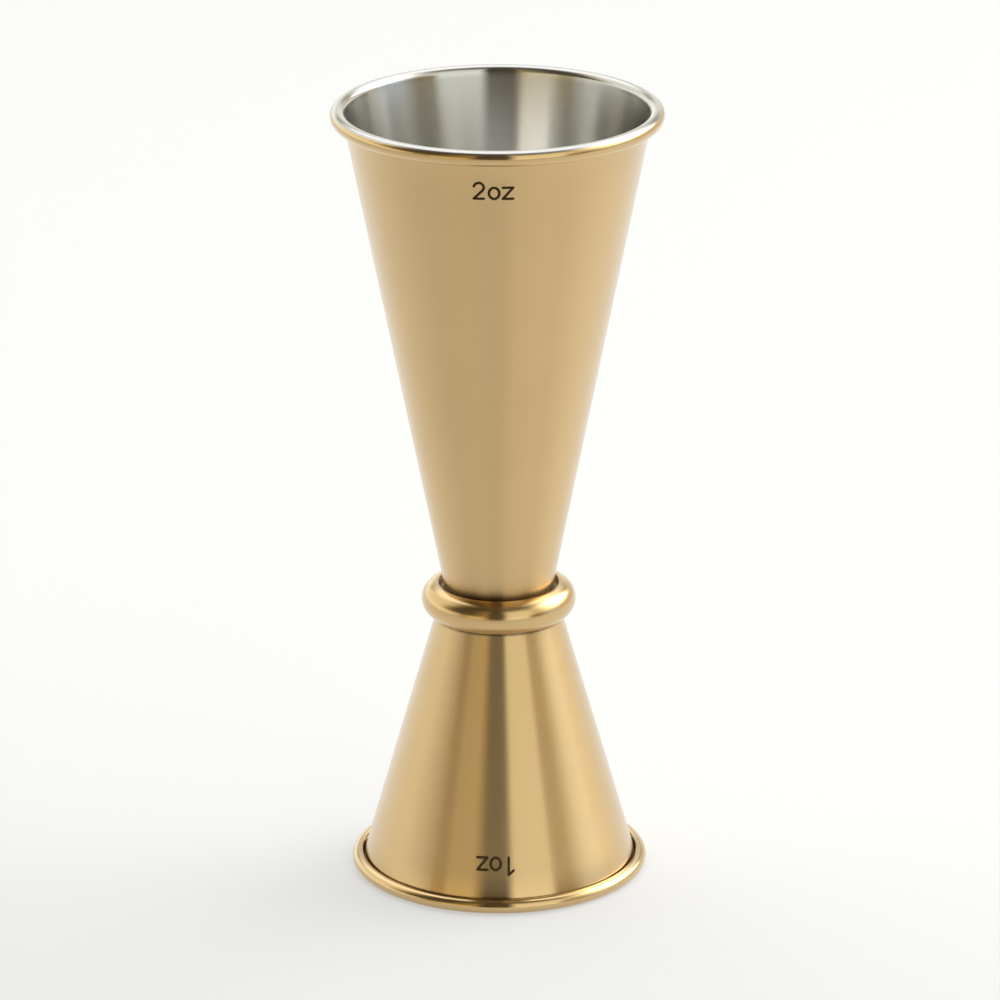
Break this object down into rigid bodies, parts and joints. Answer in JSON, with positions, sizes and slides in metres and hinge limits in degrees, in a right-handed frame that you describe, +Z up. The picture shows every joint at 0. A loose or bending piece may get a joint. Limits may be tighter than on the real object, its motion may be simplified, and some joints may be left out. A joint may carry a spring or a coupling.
{
  "type": "bar jigger",
  "caption": "Double-ended bar measure: two tapered sheet-metal cups joined floor to floor, rolled open rims, and a half-round ring round the waist.",
  "frame": {"origin": "centre of the foot: on the axis of the cups, on the plane that the small cup's rim stands on", "axes": "+Z up along the axis of both cups, towards the large cup's mouth; -Y is the front, where the capacity marks are read; +X is to the right seen from the front"},
  "size_m": [0.0496, 0.0496, 0.12],
  "materials": {
    "coated_steel": "fine brushed stainless steel with a gold-tone coating outside, bare brushed steel inside",
    "ring_metal": "polished stainless steel with a gold-tone coating",
    "braze": "dull filler metal",
    "mark_enamel": "dark brown enamel in shallow cuts"
  },
  "bodies": {
    "root": {"upper_cup": "coated_steel", "lower_cup": "coated_steel", "waist_ring": "ring_metal", "waist_braze": "braze", "mark_2oz": "mark_enamel", "mark_1oz": "mark_enamel"}
  },
  "joints": []
}
